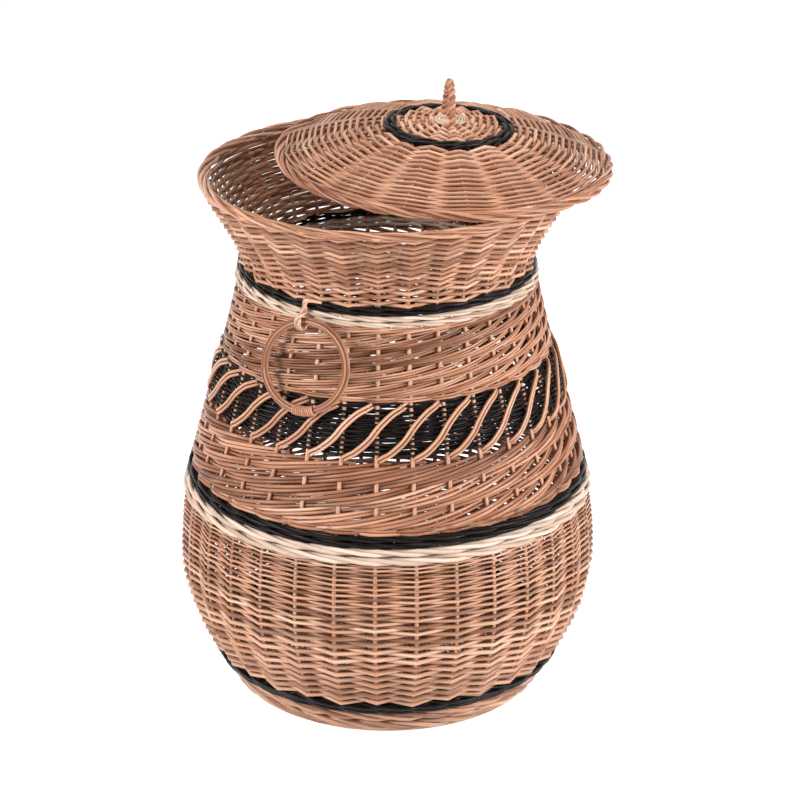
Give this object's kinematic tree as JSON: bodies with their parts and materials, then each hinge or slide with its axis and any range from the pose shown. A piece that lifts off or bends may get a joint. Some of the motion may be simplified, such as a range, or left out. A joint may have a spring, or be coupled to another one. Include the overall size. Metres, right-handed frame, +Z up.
{
  "type": "laundry hamper",
  "caption": "Jar-shaped woven willow laundry hamper with black and white bands, a braced open band, swinging ring handles and a lift-off domed lid with a loop handle.",
  "frame": {"origin": "middle of the base's underside, on the floor, on the basket's axis", "axes": "+Z up along the basket's axis, -Y towards the front where the picture was taken from, +X to the right"},
  "size_m": [0.4839, 0.4722, 0.7084],
  "materials": {
    "willow_buff": "satin",
    "willow_black": "satin",
    "willow_white": "satin"
  },
  "bodies": {
    "basket": {"base_sticks": "willow_buff", "base_weave": "willow_buff", "foot_border": "willow_buff", "rim_border": "willow_buff", "stake_01": "willow_buff", "stake_02": "willow_buff", "stake_03": "willow_buff", "stake_04": "willow_buff", "stake_05": "willow_buff", "stake_06": "willow_buff", "stake_07": "willow_buff", "stake_08": "willow_buff", "stake_09": "willow_buff", "stake_10": "willow_buff", "stake_11": "willow_buff", "stake_12": "willow_buff", "stake_13": "willow_buff", "stake_14": "willow_buff", "stake_15": "willow_buff", "stake_16": "willow_buff", "stake_17": "willow_buff", "stake_18": "willow_buff", "stake_19": "willow_buff", "stake_20": "willow_buff", "stake_21": "willow_buff", "stake_22": "willow_buff", "stake_23": "willow_buff", "stake_24": "willow_buff", "stake_25": "willow_buff", "stake_26": "willow_buff", "stake_27": "willow_buff", "stake_28": "willow_buff", "stake_29": "willow_buff", "stake_30": "willow_buff", "stake_31": "willow_buff", "stake_32": "willow_buff", "foot_band_black": "willow_black", "belly_weave_lower": "willow_buff", "belly_weave_upper": "willow_buff", "belly_band_white": "willow_white", "belly_band_black": "willow_black", "shoulder_weave_lower": "willow_buff", "open_band_black": "willow_black", "shoulder_weave_upper": "willow_buff", "neck_band_white": "willow_white", "neck_band_black": "willow_black", "collar_weave": "willow_buff", "ring_loop_left": "willow_buff", "ring_loop_right": "willow_buff"},
    "lid": {"lid_sticks": "willow_buff", "lid_handle": "willow_buff", "lid_centre_weave": "willow_buff", "lid_band_black": "willow_black", "lid_weave": "willow_buff", "lid_border": "willow_buff"},
    "ring_left": {"ring_handle_left": "willow_buff", "ring_binding_left": "willow_buff"},
    "ring_right": {"ring_handle_right": "willow_buff", "ring_binding_right": "willow_buff"}
  },
  "joints": [
    {"name": "lid_lift", "type": "slide", "parent": "basket", "child": "lid", "axis": [0, 0, 1], "range_m": [0, 0.3]},
    {"name": "ring_left_swing", "type": "hinge", "parent": "basket", "child": "ring_left", "pos_m": [-0.09106, -0.14904, 0.483], "axis": [-0.8533, 0.5214, 0], "range_deg": [0, 120]},
    {"name": "ring_right_swing", "type": "hinge", "parent": "basket", "child": "ring_right", "pos_m": [0.09106, 0.14904, 0.483], "axis": [0.8533, -0.5214, 0], "range_deg": [0, 120]}
  ]
}
